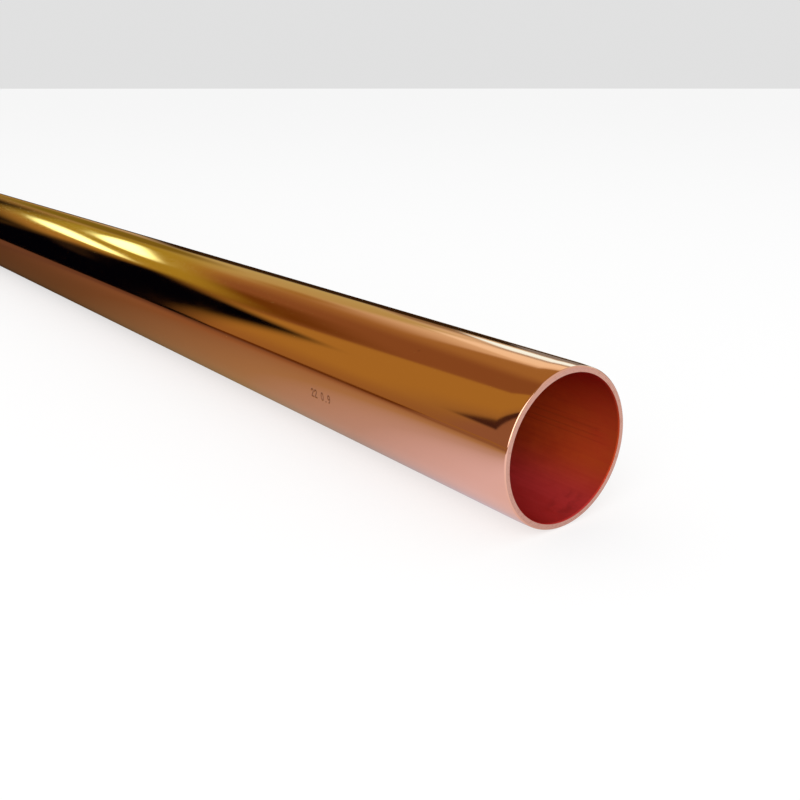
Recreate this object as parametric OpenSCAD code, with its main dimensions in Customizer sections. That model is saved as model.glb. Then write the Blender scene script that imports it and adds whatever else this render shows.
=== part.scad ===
// Straight length of hard-drawn copper tube, cut square at both ends.
// It lies along X with its middle over the origin and its underside at z = 0.

/* [Tube] */
// Outside diameter, the size that sockets and clips take
outside_d = 22; // [15:0.5:54]
// Thickness of the drawn wall
wall_t = 0.9; // [0.7:0.05:1.5]
// Length from cut end to cut end
tube_len = 1000; // [250:10:3000]

/* [Cut ends] */
// Length of the lip that the cutter wheel has turned in at each end
lip_len = 3; // [1.5:0.1:5]
// Radius of the gentle curve by which the lip closes
lip_curve_r = 45; // [20:1:150]
// Radius of the worn outer edge of the cut
edge_r = 0.25; // [0.05:0.01:0.3]
// Width that the reamer has taken off the mouth of the bore
ream_w = 0.12; // [0.05:0.01:0.3]
// Depth that the reamer has reached along the bore
ream_len = 0.2; // [0.05:0.01:0.5]

/* [Hidden] */

$fn = 180;
outer_r = outside_d / 2;
bore_r = outer_r - wall_t;

// The lip's two faces are arcs about one centre, and leave the straight wall without a kink
lip_centre = [outer_r - lip_curve_r, lip_len];
lip_bore_r = lip_curve_r - wall_t;

// Radius of the bore at the very end, before and after the reamer
end_bore_r = lip_centre[0] + sqrt(lip_bore_r * lip_bore_r - lip_len * lip_len);
mouth_r = end_bore_r + ream_w;

// The worn edge is a small arc that runs from the cut face up to the lip's outside,
// and stands a hair proud of it so that the two outlines cross
edge_proud = 0.002;
edge_reach = lip_curve_r - edge_r + edge_proud;
edge_drop = lip_len - edge_r;
edge_centre = [lip_centre[0] + sqrt(edge_reach * edge_reach - edge_drop * edge_drop), edge_r];

// How far a cutting shape runs past what it cuts
past = 1;

// Repeats a half section's shape at both ends of the tube.
module both_ends() {
    children();
    translate([0, tube_len]) mirror([0, 1]) children();
}

// Everything outside the turned-in lip.
module outside_of_lip() {
    difference() {
        translate([edge_centre[0], -past]) square([wall_t + past, lip_len + past]);
        translate(lip_centre) circle(lip_curve_r);
    }
}

// The sharp corner between the cut face and the lip.
module outer_corner() {
    difference() {
        translate([edge_centre[0], -past]) square([wall_t + past, edge_r + past]);
        translate(edge_centre) circle(edge_r);
    }
}

// The hollow inside the lip, which keeps the wall's thickness.
module bore_of_lip() {
    translate(lip_centre) circle(lip_bore_r);
}

// The slope that the reamer leaves round the mouth of the bore.
module reamed_mouth() {
    polygon([
        [mouth_r + ream_w, -ream_len],
        [mouth_r - 2 * ream_w, 2 * ream_len],
        [mouth_r - 2 * ream_w, -ream_len]
    ]);
}

// One side of the tube cut along its axis: x is the radius, y the length.
module wall_section() {
    difference() {
        translate([end_bore_r - past, 0]) square([outer_r - end_bore_r + past, tube_len]);
        translate([end_bore_r - 2 * past, lip_len])
            square([bore_r - end_bore_r + 2 * past, tube_len - 2 * lip_len]);
        both_ends() {
            outside_of_lip();
            outer_corner();
            bore_of_lip();
            reamed_mouth();
        }
    }
}

module pipe() {
    color([0.80, 0.47, 0.32])
    translate([-tube_len / 2, 0, outer_r])
    rotate([90, 0, 90])
    rotate_extrude() wall_section();
}

pipe();
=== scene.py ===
"""Looks of a straight length of hard-drawn copper tube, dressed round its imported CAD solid.

The tube lies along X on the floor. Its outside is bright drawn copper, its bore is dull and red, and its
cut ends show fresh metal. Polished copper shows the room round it, so the studio has walls and a bench
that are seen only in the metal. Lengths are in millimetres up to the point where a mesh is made.
"""

import math

import bpy
import numpy as np
from mathutils import Matrix, Vector


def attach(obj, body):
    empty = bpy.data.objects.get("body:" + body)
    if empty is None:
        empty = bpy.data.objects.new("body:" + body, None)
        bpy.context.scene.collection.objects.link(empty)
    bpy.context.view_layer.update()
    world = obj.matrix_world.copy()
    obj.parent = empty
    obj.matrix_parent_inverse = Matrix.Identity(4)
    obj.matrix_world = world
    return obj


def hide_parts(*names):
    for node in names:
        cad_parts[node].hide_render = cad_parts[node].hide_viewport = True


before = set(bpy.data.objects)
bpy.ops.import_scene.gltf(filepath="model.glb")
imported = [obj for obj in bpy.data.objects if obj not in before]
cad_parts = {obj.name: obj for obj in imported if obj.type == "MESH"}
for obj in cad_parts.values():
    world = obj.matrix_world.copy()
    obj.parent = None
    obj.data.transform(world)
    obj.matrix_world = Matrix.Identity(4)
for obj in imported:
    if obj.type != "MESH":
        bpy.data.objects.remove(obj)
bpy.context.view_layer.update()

MM = 0.001

# Tube, as in the CAD source
TUBE_LEN = 1000.0
OUTER_R = 11.0
WALL = 0.9
BORE_R = OUTER_R - WALL
LIP_LEN = 3.0
LIP_CURVE_R = 45.0
EDGE_R = 0.25
REAM_W = 0.12
REAM_LEN = 0.2

# Size mark stamped in the side, near one end
MARK_TEXT = "22 0.9"
MARK_START = 43.5
MARK_END = 38.0
MARK_LOW = -10.5
MARK_HIGH = -2.5
MARK_DEPTH = 0.06
MARK_STROKE = 0.13

# Linear colours of the metal
BRIGHT_COPPER = (0.90, 0.50, 0.36)
GOLDEN_TARNISH = (0.86, 0.44, 0.24)
FRESH_CUT = (0.93, 0.51, 0.38)
CUT_SHADE = (0.74, 0.35, 0.24)
BORE_RED = (0.78, 0.060, 0.060)
BORE_ORANGE = (0.76, 0.105, 0.020)
# Painted shade: the bore's colour on the side that the lamp's light doesn't reach
BORE_PAINTED_SHADE = (0.42, 0.008, 0.006)
BORE_SHADE = (0.45, 0.020, 0.015)
# Painted shade in the grooves of the size mark, also the colour of dark specks of dirt
GROOVE_SHADE_AND_SPECK = (0.30, 0.13, 0.08)


# Camera at the photograph's viewing angle

def make_camera():
    """Stands by the near end and looks at it from above and from the side, with the horizon level."""
    data = bpy.data.cameras.new("camera")
    data.lens = 42.12
    data.sensor_width = 36.0
    data.clip_start = 0.005
    data.clip_end = 400.0
    camera = bpy.data.objects.new("camera", data)
    bpy.context.scene.collection.objects.link(camera)
    forward = Vector((-0.7517, 0.5788, -0.3160)).normalized()
    right = Vector((0.6101, 0.7923, 0.0)).normalized()
    up = right.cross(forward)
    turn = Matrix((right, up, -forward)).transposed().to_4x4()
    camera.matrix_world = Matrix.Translation((0.57497, -0.0846, 0.0546)) @ turn
    bpy.context.scene.camera = camera


# Numbers that a material works out at each point

class Value:
    """A number in a material. Arithmetic on it adds Math nodes to the material's tree."""

    def __init__(self, tree, socket):
        self.tree = tree
        self.socket = socket

    def math(self, operation, *others, clamp=False):
        node = self.tree.nodes.new("ShaderNodeMath")
        node.operation = operation
        node.use_clamp = clamp
        for place, other in enumerate((self, *others)):
            feed(self.tree, node.inputs[place], other)
        return Value(self.tree, node.outputs[0])

    def __add__(self, other):
        return self.math("ADD", other)

    def __sub__(self, other):
        return self.math("SUBTRACT", other)

    def __mul__(self, other):
        return self.math("MULTIPLY", other)

    def __truediv__(self, other):
        return self.math("DIVIDE", other)

    def ramp(self, start, end, low=0.0, high=1.0):
        """Goes smoothly from low to high while the number goes from start to end."""
        node = self.tree.nodes.new("ShaderNodeMapRange")
        node.interpolation_type = "SMOOTHSTEP"
        feed(self.tree, node.inputs["Value"], self)
        for name, number in (("From Min", start), ("From Max", end), ("To Min", low), ("To Max", high)):
            node.inputs[name].default_value = number
        return Value(self.tree, node.outputs["Result"])

    def band(self, start, end, soft):
        """1 between start and end and 0 outside, with soft edges centred on them."""
        rise = self.ramp(start - soft / 2, start + soft / 2)
        fall = self.ramp(end - soft / 2, end + soft / 2, 1.0, 0.0)
        return rise * fall


def feed(tree, socket, source):
    """Links a socket to a material's number, or sets it to a plain one."""
    if isinstance(source, Value):
        tree.links.new(source.socket, socket)
    elif isinstance(source, bpy.types.NodeSocket):
        tree.links.new(source, socket)
    elif len(getattr(socket, "default_value", (0,)) if socket.type == "RGBA" else ()) == 4:
        socket.default_value = (*source, 1.0)
    else:
        socket.default_value = source


def blend(tree, amount, first, second):
    """Colour that goes from first to second as amount goes from 0 to 1."""
    node = tree.nodes.new("ShaderNodeMix")
    node.data_type = "RGBA"
    feed(tree, node.inputs["Factor"], amount)
    feed(tree, node.inputs[6], first)
    feed(tree, node.inputs[7], second)
    return node.outputs[2]


def new_material(name):
    """An empty material: (material, tree, output socket of its surface)."""
    material = bpy.data.materials.new(name)
    material.use_nodes = True
    tree = material.node_tree
    tree.nodes.clear()
    output = tree.nodes.new("ShaderNodeOutputMaterial")
    return material, tree, output.inputs["Surface"]


def position(tree):
    """Object coordinates as three numbers in metres."""
    coordinate = tree.nodes.new("ShaderNodeTexCoord")
    split = tree.nodes.new("ShaderNodeSeparateXYZ")
    tree.links.new(coordinate.outputs["Object"], split.inputs[0])
    return [Value(tree, socket) for socket in split.outputs]


def point(tree, x, y, z):
    """A position made of three numbers."""
    join = tree.nodes.new("ShaderNodeCombineXYZ")
    for place, number in enumerate((x, y, z)):
        feed(tree, join.inputs[place], number)
    return join.outputs[0]


def noise(tree, place, scale, detail=3.0, rough=0.5, seed=0.0):
    """Cloudy noise from 0 to 1. The seed shifts it to another part of the pattern."""
    node = tree.nodes.new("ShaderNodeTexNoise")
    node.noise_dimensions = "4D"
    tree.links.new(place, node.inputs["Vector"])
    node.inputs["W"].default_value = seed
    node.inputs["Scale"].default_value = scale
    node.inputs["Detail"].default_value = detail
    node.inputs["Roughness"].default_value = rough
    return Value(tree, node.outputs["Fac"])


def around_tube(tree):
    """(x, angle, radius) of a point: along the tube, round it and out from its axis, all in millimetres.

    The angle is measured as length along the outside, from the side that faces the camera upwards.
    """
    x, y, z = position(tree)
    across = y * -1000.0
    height = (z - OUTER_R * MM) * 1000.0
    angle = height.math("ARCTAN2", across) * OUTER_R
    radius = (across * across + height * height).math("SQRT")
    return x * 1000.0, angle, radius


def metal(tree, surface, colour, roughness, height, reach, metallic=1.0):
    """A metal shader whose bumps are height times reach, in metres. Returns the shader."""
    shader = tree.nodes.new("ShaderNodeBsdfPrincipled")
    shader.inputs["Metallic"].default_value = metallic
    feed(tree, shader.inputs["Base Color"], colour)
    feed(tree, shader.inputs["Roughness"], roughness)
    bump = tree.nodes.new("ShaderNodeBump")
    bump.inputs["Strength"].default_value = 1.0
    bump.inputs["Distance"].default_value = reach
    feed(tree, bump.inputs["Height"], height)
    tree.links.new(bump.outputs["Normal"], shader.inputs["Normal"])
    tree.links.new(shader.outputs["BSDF"], surface)
    return shader


# Metal finishes

def drawn_copper():
    """Bright outside: fine draw lines along the tube, faint golden tarnish, smudges, specks and rubs."""
    material, tree, surface = new_material("drawn_copper")
    x, angle, radius = around_tube(tree)
    wide = point(tree, x * 0.02, angle * 0.12, radius * 0.0)
    tone = noise(tree, wide, 1.0, 3.0, 0.55, 1.3)
    lines = noise(tree, point(tree, x * 0.006, angle * 3.0, 0.0), 1.0, 4.0, 0.6, 4.1)
    smudge = noise(tree, point(tree, x * 0.05, angle * 0.22, 0.0), 1.0, 4.0, 0.62, 7.7)
    grain = noise(tree, point(tree, x * 0.9, angle * 6.0, 0.0), 1.0, 2.0, 0.5, 2.9)
    speck = noise(tree, point(tree, x * 0.55, angle * 0.8, 0.0), 1.0, 1.0, 0.4, 9.2).ramp(0.78, 0.86)
    colour = blend(tree, tone.ramp(0.35, 0.8, 0.0, 0.3), BRIGHT_COPPER, GOLDEN_TARNISH)
    stamp = tree.nodes.new("ShaderNodeAttribute")
    stamp.attribute_name = "stamp"
    stamped = Value(tree, stamp.outputs["Fac"])
    # Painted shade: the size mark's grooves are painted darker; the specks are dark dirt
    colour = blend(tree, speck * 0.35 + stamped * 0.85, colour, GROOVE_SHADE_AND_SPECK)
    roughness = smudge.ramp(0.4, 0.75, 0.045, 0.09) + lines * 0.015 + stamped * 0.25 + speck * 0.1
    height = lines * 0.6 + grain * 0.06
    metal(tree, surface, colour, roughness, height, 0.5e-6)
    return material


def cut_copper():
    """Fresh cut face and worn edge: turning rings left by the cutter, with small dents and burrs."""
    material, tree, surface = new_material("cut_copper")
    x, angle, radius = around_tube(tree)
    rings = noise(tree, point(tree, x * 6.0, angle * 0.05, radius * 14.0), 1.0, 3.0, 0.6, 3.4)
    nicks = noise(tree, point(tree, x * 2.0, angle * 1.6, radius * 2.0), 1.0, 3.0, 0.6, 5.9)
    colour = blend(tree, nicks.ramp(0.45, 0.8), FRESH_CUT, CUT_SHADE)
    roughness = rings.ramp(0.3, 0.7, 0.18, 0.28) + nicks * 0.05
    metal(tree, surface, colour, roughness, rings * 0.6 + nicks, 6e-6)
    return material


def bore_copper():
    """Dull red bore with painted shade: darker towards the top and the -Y side, which the lamp's light doesn't
    reach, and darker towards the mouth. Long draw lines, mottling, a few drag marks and faint smudges by the mouth."""
    material, tree, surface = new_material("bore_copper")
    x, angle, radius = around_tube(tree)
    depth = x.math("ABSOLUTE") * -1.0 + TUBE_LEN / 2
    turn = angle / OUTER_R
    height = turn.math("SINE")
    towards_light = (turn + math.radians(145)).math("COSINE")
    lines = noise(tree, point(tree, x * 0.02, angle * 1.6, 0.0), 1.0, 3.0, 0.6, 6.2)
    mottle = noise(tree, point(tree, x * 0.16, angle * 0.28, 0.0), 1.0, 4.0, 0.6, 8.8)
    smudge = noise(tree, point(tree, x * 0.5, angle * 0.35, 0.0), 1.0, 3.0, 0.6, 1.1)
    red = blend(tree, height.ramp(-0.45, -0.95), BORE_ORANGE, BORE_RED)
    # Painted shade: darker away from the lamp's side, towards the top and the -Y side
    colour = blend(tree, towards_light.ramp(-0.15, 0.95), BORE_PAINTED_SHADE, red)
    # Painted shade: darker towards the mouth
    colour = blend(tree, depth.ramp(0.0, 14.0, 0.4, 0.0), colour, (0.16, 0.01, 0.008))
    colour = blend(tree, mottle.ramp(0.35, 0.75, 0.0, 0.35) + lines.ramp(0.35, 0.8, 0.0, 0.25), colour, BORE_SHADE)
    drag = angle.band(-34.0, -33.75, 0.3) + angle.band(-32.9, -32.7, 0.25) + angle.band(-32.1, -31.95, 0.2) * 0.5
    drag = drag * lines.ramp(0.3, 0.6, 0.3, 1.0) * depth.ramp(1.0, 5.0)
    stain = depth.band(0.8, 4.5, 2.0) * angle.band(-23.5, -18.5, 2.5) * smudge.ramp(0.42, 0.6)
    colour = blend(tree, drag * 0.3 + stain * 0.35, colour, (0.16, 0.01, 0.008))
    roughness = mottle.ramp(0.3, 0.75, 0.40, 0.55) + smudge * 0.06
    shader = metal(tree, surface, colour, roughness, lines * 0.5 + mottle * 1.4 - drag * 0.8, 12e-6, metallic=0.3)
    shader.inputs["Specular IOR Level"].default_value = 0.12
    shader.inputs["Specular Tint"].default_value = (0.85, 0.25, 0.18, 1.0)
    return material


# Tube as one closed surface: an outline of its wall carried round the axis

def stretch(start, end, step):
    """Evenly spaced numbers from start to end, about one step apart."""
    count = max(2, int(round(abs(end - start) / step)) + 1)
    return np.linspace(start, end, count)


def half_outline(marked):
    """One end's wall outline, from the middle of the outside round the cut end to the middle of the bore.

    Returns distance from the cut end, radius, outward direction along the axis (towards the end),
    outward direction along the radius, and which finish each stretch has (0 outside, 1 cut, 2 bore).
    The lip is two arcs about one centre, the worn edge is a quarter arc, the mouth is a short cone.
    """
    centre_r = OUTER_R - LIP_CURVE_R
    edge_tilt = math.asin((LIP_LEN - EDGE_R) / (LIP_CURVE_R - EDGE_R))
    edge_centre_r = centre_r + (LIP_CURVE_R - EDGE_R) * math.cos(edge_tilt)
    lip_start = LIP_LEN - LIP_CURVE_R * math.sin(edge_tilt)
    lip_bore_r = LIP_CURVE_R - WALL
    mouth_r = centre_r + math.sqrt(lip_bore_r ** 2 - LIP_LEN ** 2) + REAM_W
    ream_r = centre_r + math.sqrt(lip_bore_r ** 2 - (LIP_LEN - REAM_LEN) ** 2)
    hair = 0.008
    middle = TUBE_LEN / 2
    reach = [stretch(middle, 60.0, 14.0)[:-1]]
    if marked:
        reach += [stretch(60.0, MARK_START + 0.6, 3.0)[:-1]]
        reach += [stretch(MARK_START + 0.6, MARK_END - 0.6, 0.1)[:-1]]
        reach += [stretch(MARK_END - 0.6, LIP_LEN, 3.0)]
    else:
        reach += [stretch(60.0, LIP_LEN, 6.0)]
    along = np.concatenate(reach)[1:]
    parts = [(along, along * 0 + OUTER_R, along * 0.0, along * 0 + 1.0, 0)]
    u = stretch(LIP_LEN, lip_start, 0.25)[1:]
    tilt = np.arcsin((LIP_LEN - u) / LIP_CURVE_R)
    parts.append((u, centre_r + LIP_CURVE_R * np.cos(tilt), np.sin(tilt), np.cos(tilt), 0))
    tilt = np.linspace(edge_tilt, math.pi / 2, 12)[1:]
    parts.append((EDGE_R - EDGE_R * np.sin(tilt), edge_centre_r + EDGE_R * np.cos(tilt),
                  np.sin(tilt), np.cos(tilt), 0))
    r = np.linspace(edge_centre_r, mouth_r + hair, 6)[1:]
    parts.append((r * 0, r, r * 0 + 1.0, r * 0, 1))
    slope = math.hypot(REAM_LEN, mouth_r - ream_r)
    share = np.linspace(hair / slope, 1 - hair / slope, 4)
    parts.append((share * REAM_LEN, mouth_r + share * (ream_r - mouth_r),
                  share * 0 + (mouth_r - ream_r) / slope, share * 0 - REAM_LEN / slope, 2))
    u = stretch(REAM_LEN + hair, LIP_LEN, 0.35)
    tilt = np.arcsin((LIP_LEN - u) / lip_bore_r)
    parts.append((u, centre_r + lip_bore_r * np.cos(tilt), -np.sin(tilt), -np.cos(tilt), 2))
    u = LIP_LEN + (middle - LIP_LEN) * np.linspace(0, 1, 30)[1:-1] ** 2
    parts.append((u, u * 0 + BORE_R, u * 0.0, u * 0 - 1.0, 2))
    finish = np.concatenate([np.full(len(part[0]), part[4]) for part in parts])
    return [np.concatenate([part[i] for part in parts]) for i in range(4)] + [finish]


def columns():
    """Angles round the tube in degrees, closer together where the size mark is."""
    fine = stretch(MARK_LOW - 1.5, MARK_HIGH + 1.5, 0.4)
    rest = np.linspace(fine[-1], fine[0] + 360.0, 246)[1:-1]
    return np.concatenate([fine, rest])


def glyph_paths():
    """Strokes of the plain characters of the mark, as lists of points in a cell 1 wide and 2 high."""
    turn = np.linspace(0, 2 * math.pi, 17)
    ring = np.stack([0.5 + 0.32 * np.cos(turn), 1.0 + 0.8 * np.sin(turn)], axis=1)
    hook = np.linspace(math.pi * 0.95, -math.pi * 0.25, 10)
    two = np.stack([0.5 + 0.32 * np.cos(hook), 1.42 + 0.38 * np.sin(hook)], axis=1)
    two = np.concatenate([two, [(0.18, 0.2), (0.84, 0.2)]])
    loop = np.stack([0.5 + 0.32 * np.cos(turn), 1.38 + 0.42 * np.sin(turn)], axis=1)
    tail = np.array([(0.82, 1.38), (0.78, 0.75), (0.60, 0.35), (0.36, 0.2)])
    dot = np.array([(0.46, 0.2), (0.54, 0.2)])
    return {"2": [two], "0": [ring], "9": [loop, tail], ".": [dot], " ": []}


def stamp_depth(along, angle):
    """How deep the size mark is, from 0 to 1, at each distance from the end and angle in degrees.

    A stroke is a groove: its depth falls off with the distance to the stroke's middle line.
    """
    cell = (MARK_START - MARK_END) / len(MARK_TEXT)
    height = math.radians(MARK_HIGH - MARK_LOW) * OUTER_R
    px = (MARK_START - along)[:, None] + 0 * angle[None, :]
    py = np.radians(angle - MARK_LOW)[None, :] * OUTER_R + 0 * along[:, None]
    nearest = np.full(px.shape, 9.0)
    for place, character in enumerate(MARK_TEXT):
        for path in glyph_paths()[character]:
            path = path * (cell * 0.95, height / 2) + (place * cell, 0)
            for (ax, ay), (bx, by) in zip(path[:-1], path[1:]):
                length = (bx - ax) ** 2 + (by - ay) ** 2
                share = np.clip(((px - ax) * (bx - ax) + (py - ay) * (by - ay)) / length, 0, 1)
                far = np.hypot(px - ax - share * (bx - ax), py - ay - share * (by - ay))
                nearest = np.minimum(nearest, far)
    depth = np.clip(1.3 - nearest / MARK_STROKE, 0, 1)
    return depth * depth * (3 - 2 * depth)


def make_tube():
    """The tube's closed surface: each point of the wall's outline at each angle round the axis.

    The place is x along the axis, y = -r cos(angle) and z = the axis height + r sin(angle). The size
    mark is pressed in along the radius, and the normals come from the same formula.
    """
    near = half_outline(True)
    far = [rows[::-1] for rows in half_outline(False)]
    x = np.concatenate([TUBE_LEN / 2 - near[0], far[0] - TUBE_LEN / 2])
    radius = np.concatenate([near[1], far[1]])
    out_x = np.concatenate([near[2], -far[2]])
    out_r = np.concatenate([near[3], far[3]])
    finish = np.concatenate([near[4], far[4]])
    degrees = columns()
    turn = np.radians(degrees)
    outside = (finish == 0) & (x > 0)
    press = stamp_depth(TUBE_LEN / 2 - x, degrees) * outside[:, None]
    r = radius[:, None] - MARK_DEPTH * press
    slope_x = np.gradient(MARK_DEPTH * press, axis=0) / np.where(np.gradient(x) == 0, 1.0, np.gradient(x))[:, None]
    slope_x = np.where(press > 0, slope_x, 0.0)
    slope_turn = np.gradient(MARK_DEPTH * press, axis=1) / (np.gradient(turn)[None, :] * OUTER_R)
    slope_turn = np.where(press > 0, slope_turn, 0.0)
    cos, sin = np.cos(turn)[None, :], np.sin(turn)[None, :]
    places = np.stack([x[:, None] + 0 * r, -r * cos, OUTER_R + r * sin], axis=2) * MM
    normals = np.stack([
        out_x[:, None] + slope_x,
        -out_r[:, None] * cos + slope_turn * sin,
        out_r[:, None] * sin + slope_turn * cos,
    ], axis=2)
    normals /= np.linalg.norm(normals, axis=2, keepdims=True)
    rows, cols = r.shape
    i = np.arange(rows)[:, None]
    j = np.arange(cols)[None, :]
    i2, j2 = (i + 1) % rows, (j + 1) % cols
    faces = np.stack([i * cols + j, i2 * cols + j, i2 * cols + j2, i * cols + j2], axis=2)
    mesh = bpy.data.meshes.new("tube")
    mesh.from_pydata(places.reshape(-1, 3), [], faces.reshape(-1, 4))
    mesh.polygons.foreach_set("material_index", np.repeat(finish_of_rows(finish), cols))
    stamp = mesh.attributes.new("stamp", "FLOAT", "POINT")
    stamp.data.foreach_set("value", press.astype(np.float32).ravel())
    for material in (drawn_copper(), cut_copper(), bore_copper()):
        mesh.materials.append(material)
    mesh.shade_smooth()
    mesh.normals_split_custom_set_from_vertices(normals.reshape(-1, 3))
    mesh.update()
    tube = bpy.data.objects.new("tube", mesh)
    bpy.context.scene.collection.objects.link(tube)
    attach(tube, "root")
    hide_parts("pipe")
    return tube


def finish_of_rows(finish):
    """Finish of the strip between each row and the next: the cut finish wins at its borders."""
    following = np.roll(finish, -1)
    return np.where((finish == 1) | (following == 1), 1, finish).astype(np.int32)


# Studio

def make_sheet(name, half, height):
    """A flat square with its middle over the origin."""
    mesh = bpy.data.meshes.new(name)
    corners = [(-half, -half, height), (half, -half, height), (half, half, height), (-half, half, height)]
    mesh.from_pydata(corners, [], [(0, 1, 2, 3)])
    return add_stage(name, mesh)


def add_stage(name, mesh):
    thing = bpy.data.objects.new(name, mesh)
    bpy.context.scene.collection.objects.link(thing)
    return thing


def only_in_metal(thing):
    """Lets only glossy rays see a studio piece, so that it neither lights nor shades anything."""
    thing.visible_camera = False
    thing.visible_diffuse = False
    thing.visible_transmission = False
    thing.visible_volume_scatter = False
    thing.visible_shadow = False


def make_floor():
    """Plain pale floor that keeps the tube's shadow. Its glow lifts it to white where it is looked at."""
    floor = make_sheet("floor", 120.0, 0.0)
    material, tree, surface = new_material("pale_floor")
    matt = tree.nodes.new("ShaderNodeBsdfDiffuse")
    matt.inputs["Color"].default_value = (0.35, 0.35, 0.35, 1.0)
    glow = tree.nodes.new("ShaderNodeEmission")
    light_path = tree.nodes.new("ShaderNodeLightPath")
    seen = Value(tree, light_path.outputs["Is Camera Ray"])
    seen = seen + Value(tree, light_path.outputs["Is Glossy Ray"])
    seen = seen + Value(tree, light_path.outputs["Is Transmission Ray"])
    feed(tree, glow.inputs["Strength"], seen * 0.66)
    both = tree.nodes.new("ShaderNodeAddShader")
    tree.links.new(matt.outputs[0], both.inputs[0])
    tree.links.new(glow.outputs[0], both.inputs[1])
    tree.links.new(both.outputs[0], surface)
    floor.data.materials.append(material)


def make_bench():
    """Bench top that the copper shows: pale paper with painted light that falls off from white by the cut end to
    brown along the tube and away from it, a painted shadow of the tube beside it, bare dark wood beyond the paper's
    edge, and the wall's foot beyond the bench. It glows with most of its colour."""
    bench = make_sheet("bench", 120.0, 0.0001)
    only_in_metal(bench)
    material, tree, surface = new_material("bench_top")
    x, y, z = position(tree)
    from_end = (x * -1000.0 + 500.0) / OUTER_R
    out = y * (-1000.0 / OUTER_R)
    # Painted light: the paper is white by the cut end and darkens to brown along the tube, a pool of light falling
    # off
    ramp = tree.nodes.new("ShaderNodeValToRGB")
    feed(tree, ramp.inputs["Fac"], from_end / 36.0 + 0.1)
    painted_falloff_stops = (
        (0.05, (0.92, 0.91, 0.98)),
        (0.13, (0.78, 0.74, 0.84)),
        (0.20, (0.54, 0.45, 0.40)),
        (0.295, (0.43, 0.30, 0.145)),
        (0.52, (0.30, 0.155, 0.060)),
        (0.88, (0.15, 0.072, 0.034)),
    )
    for place, colour in painted_falloff_stops[1:-1]:
        ramp.color_ramp.elements.new(place)
    for element, (place, colour) in zip(ramp.color_ramp.elements, painted_falloff_stops):
        element.position = place
        element.color = (*colour, 1.0)
    # Painted shadow of the tube beside and under it, growing along the tube; the paper also darkens away from the
    # tube, painted light falling off
    painted_tube_shadow = out.ramp(0.3, 6.0, 0.5, 0.0) * from_end.ramp(3.0, 18.0) + out.ramp(0.1, 0.9, 0.3, 0.0)
    paper = blend(tree, out.ramp(8.0, 26.0, 0.0, 0.5) + painted_tube_shadow, ramp.outputs["Color"], (0.0, 0.0, 0.0))
    # The bare wood shows between two lines of sight: one past the bench's corner, one past the doorway
    past_corner = from_end - out * 1.035
    past_door = from_end - out * 1.88
    wood = blend(tree, past_corner.ramp(0.5, 4.0), (0.28, 0.15, 0.065), (0.12, 0.036, 0.003))
    foot = blend(tree, out.ramp(40.0, 60.0), wood, (0.33, 0.18, 0.04))
    foot = blend(tree, past_door.ramp(2.0, 5.0), foot, (0.002, 0.001, 0.001))
    colour = blend(tree, out.ramp(16.3, 16.9), paper, foot)
    matt = tree.nodes.new("ShaderNodeBsdfDiffuse")
    glow = tree.nodes.new("ShaderNodeEmission")
    tree.links.new(colour, matt.inputs["Color"])
    tree.links.new(colour, glow.inputs["Color"])
    # The bench glows with three quarters of its colour, so its painted light and shadow show whatever lights it
    share = tree.nodes.new("ShaderNodeMixShader")
    share.inputs["Fac"].default_value = 0.75
    tree.links.new(matt.outputs[0], share.inputs[1])
    tree.links.new(glow.outputs[0], share.inputs[2])
    tree.links.new(share.outputs[0], surface)
    material.cycles.emission_sampling = "NONE"
    bench.data.materials.append(material)


def dome_mesh(radius):
    """A closed ball: rings of latitude from pole to pole, facing inwards."""
    lat = np.radians(np.linspace(-90, 90, 25)[1:-1])[:, None]
    lon = np.radians(np.arange(0, 360, 7.5))[None, :]
    ball = np.stack([np.cos(lat) * np.cos(lon), np.cos(lat) * np.sin(lon), np.sin(lat) + 0 * lon], axis=2)
    rows, cols = ball.shape[:2]
    places = np.concatenate([ball.reshape(-1, 3), [(0, 0, -1), (0, 0, 1)]]) * radius
    i = np.arange(rows - 1)[:, None]
    j = np.arange(cols)[None, :]
    j2 = (j + 1) % cols
    quads = np.stack([i * cols + j2, i * cols + j, (i + 1) * cols + j, (i + 1) * cols + j2], axis=2)
    low = [(rows * cols, j, (j + 1) % cols) for j in range(cols)]
    high = [(rows * cols + 1, (rows - 1) * cols + (j + 1) % cols, (rows - 1) * cols + j) for j in range(cols)]
    mesh = bpy.data.meshes.new("walls")
    mesh.from_pydata(places, [], [*quads.reshape(-1, 4).tolist(), *low, *high])
    return mesh


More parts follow.
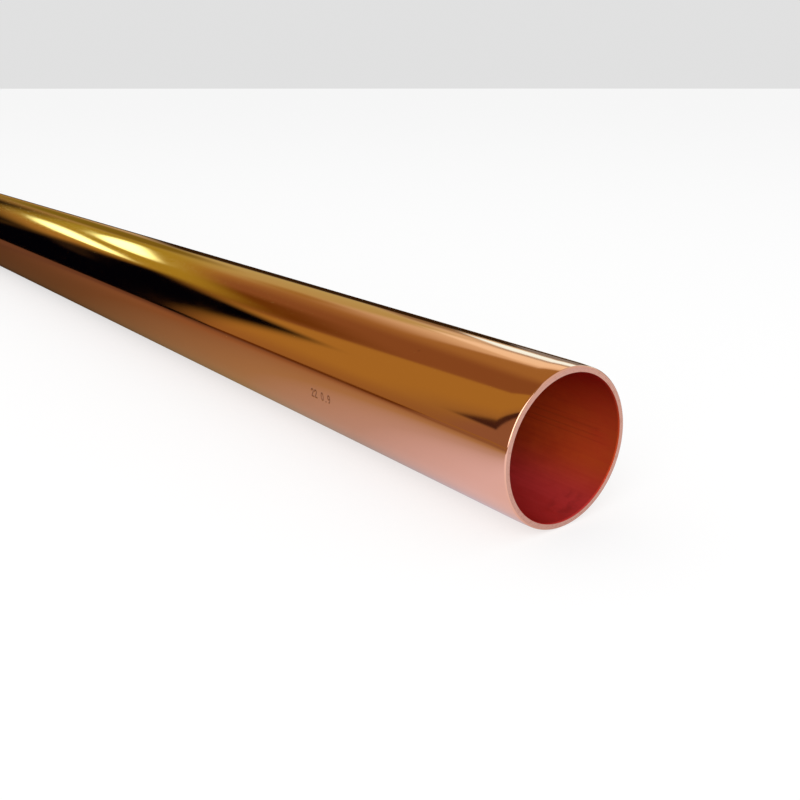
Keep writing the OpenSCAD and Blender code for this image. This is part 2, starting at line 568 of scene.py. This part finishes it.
def make_walls():
    """Far walls that only the copper shows, painted by direction: azimuth from the tube's far end towards
    the camera's side, and elevation above the horizon, both in degrees."""
    walls = add_stage("walls", dome_mesh(100.0))
    only_in_metal(walls)
    material, tree, surface = new_material("wall_paint")
    x, y, z = position(tree)
    azimuth = (y * -1.0).math("ARCTAN2", x * -1.0) * math.degrees(1)
    level = (x * x + y * y).math("SQRT")
    elevation = z.math("ARCTAN2", level) * math.degrees(1)

    def board(az, el, soft_az=3.0, soft_el=3.0):
        return azimuth.band(*az, soft_az) * elevation.band(*el, soft_el)

    def lamp(az, el, long, wide, turn):
        """A soft-edged oval at (az, el), turned by turn degrees."""
        c, s = math.cos(math.radians(turn)), math.sin(math.radians(turn))
        side = (azimuth - az) * c + (elevation - el) * s
        rise = (elevation - el) * c - (azimuth - az) * s
        far = ((side / long) * (side / long) + (rise / wide) * (rise / wide)).math("SQRT")
        return far.ramp(0.5, 1.1, 1.0, 0.0)

    def paint_on(under, amount, over):
        return blend(tree, amount, under, over)

    colour = blend(tree, elevation.ramp(0, 14), (0.33, 0.18, 0.04), (0.41, 0.25, 0.043))
    colour = paint_on(colour, azimuth.ramp(36, 50), (0.28, 0.155, 0.055))
    # Pale light from the side that faces the cut end
    colour = paint_on(colour, board((-190, -60), (-30, 90), 30, 10), (0.72, 0.66, 0.66))
    # Red-brown panel over the doorway, lighter and yellower towards the left
    colour = paint_on(colour, board((-60, 19), (27, 90), 2.5, 7), (0.25, 0.112, 0.033))
    colour = paint_on(colour, board((2, 17.5), (24, 35), 8, 9) * 0.9, (0.13, 0.045, 0.002))
    colour = paint_on(colour, azimuth.ramp(-3, -22) * azimuth.ramp(-60, -59), (0.37, 0.21, 0.055))
    lit_wall = azimuth.ramp(-60, -59) * elevation.ramp(38, 35.5)
    colour = paint_on(colour, azimuth.ramp(-15, -36) * lit_wall, (0.76, 0.64, 0.38))
    # Golden haze round the lamps
    colour = paint_on(colour, board((-60, -15), (9, 26), 9, 6) * azimuth.ramp(-40, -35), (0.50, 0.42, 0.14))
    colour = paint_on(colour, lamp(-4.0, 21.8, 21.0, 6.5, 14), (0.40, 0.33, 0.03))
    colour = paint_on(colour, lamp(-19.0, 11.0, 9.0, 6.0, -70), (0.20, 0.14, 0.012))
    colour = paint_on(colour, board((-24, -18), (24, 29), 5, 4) * 0.7, (0.33, 0.18, 0.02))
    # Pale blind, a dark bar and the window beside them
    colour = paint_on(colour, board((-54, -34.5), (24.5, 34.5), 3, 5), (0.98, 0.91, 0.63))
    colour = paint_on(colour, board((-90, -40.5), (20, 24.5), 2, 2), (0.50, 0.43, 0.30))
    colour = paint_on(colour, board((-90, -37), (-4, 17), 3, 7) * azimuth.ramp(-43, -42), (0.29, 0.19, 0.08))
    colour = paint_on(colour, board((-90, -42.3), (12.7, 21), 1.5, 2), (1.05, 1.50, 1.52))
    # Dark furniture along the foot of the wall
    colour = paint_on(colour, board((-90, -24), (-4, 9.8), 3, 4), (0.03, 0.012, 0.002))
    colour = paint_on(colour, board((-90, -47), (-4, 11), 1.5, 4), (0.26, 0.24, 0.20))
    # Doorway into the dark, with a faint lit streak in it
    colour = paint_on(colour, board((-11.5, 12), (-9, 15.8), 8, 4.5), (0.006, 0.004, 0.003))
    colour = paint_on(colour, board((10, 27.8), (-9, 23.8), 4.5, 4.5), (0.0005, 0.0005, 0.002))
    colour = paint_on(colour, lamp(12.5, 16.0, 6.0, 1.2, -35) * 0.5, (0.045, 0.03, 0.012))
    # Dark upright post beyond the cut end, with red-brown wall after it
    colour = paint_on(colour, board((45, 90), (-2, 33), 3, 4), (0.28, 0.145, 0.07))
    colour = paint_on(colour, board((43.4, 47.5), (12.5, 42), 1.2, 3), (0.05, 0.018, 0.012))
    # Two tube lamps
    colour = paint_on(colour, lamp(-6.7, 22.0, 7.8, 1.9, 21), (2.4, 3.2, 1.35))
    colour = paint_on(colour, lamp(1.8, 20.0, 7.0, 1.7, 17), (2.4, 3.2, 1.35))
    # The walls glow with their paint: the room's light and shade, lit patches and haze round the lamps are painted
    # on them
    paint = tree.nodes.new("ShaderNodeEmission")
    tree.links.new(colour, paint.inputs["Color"])
    tree.links.new(paint.outputs[0], surface)
    material.cycles.emission_sampling = "NONE"
    walls.data.materials.append(material)


def light_scene():
    """Even white light from all round, at which a colour renders about as it is written."""
    scene = bpy.context.scene
    world = bpy.data.worlds.new("studio")
    world.use_nodes = True
    world.node_tree.nodes["Background"].inputs["Color"].default_value = (1.0, 1.0, 1.0, 1.0)
    world.node_tree.nodes["Background"].inputs["Strength"].default_value = 0.75
    scene.world = world
    lamp = bpy.data.lights.new("soft_lamp", "AREA")
    lamp.energy = 7.0
    lamp.size = 1.0
    soft_lamp = bpy.data.objects.new("soft_lamp", lamp)
    scene.collection.objects.link(soft_lamp)
    place = Vector((1.10, -0.62, 0.50))
    aim = Vector((0.49, 0.0, 0.01))
    soft_lamp.matrix_world = Matrix.Translation(place) @ (aim - place).to_track_quat("-Z", "Y").to_matrix().to_4x4()
    scene.view_settings.view_transform = "Standard"
    # Light goes on through the bore for many reflections, which is what makes it red
    scene.cycles.max_bounces = 24
    scene.cycles.glossy_bounces = 24


make_camera()
tube = make_tube()
make_floor()
make_bench()
make_walls()
light_scene()
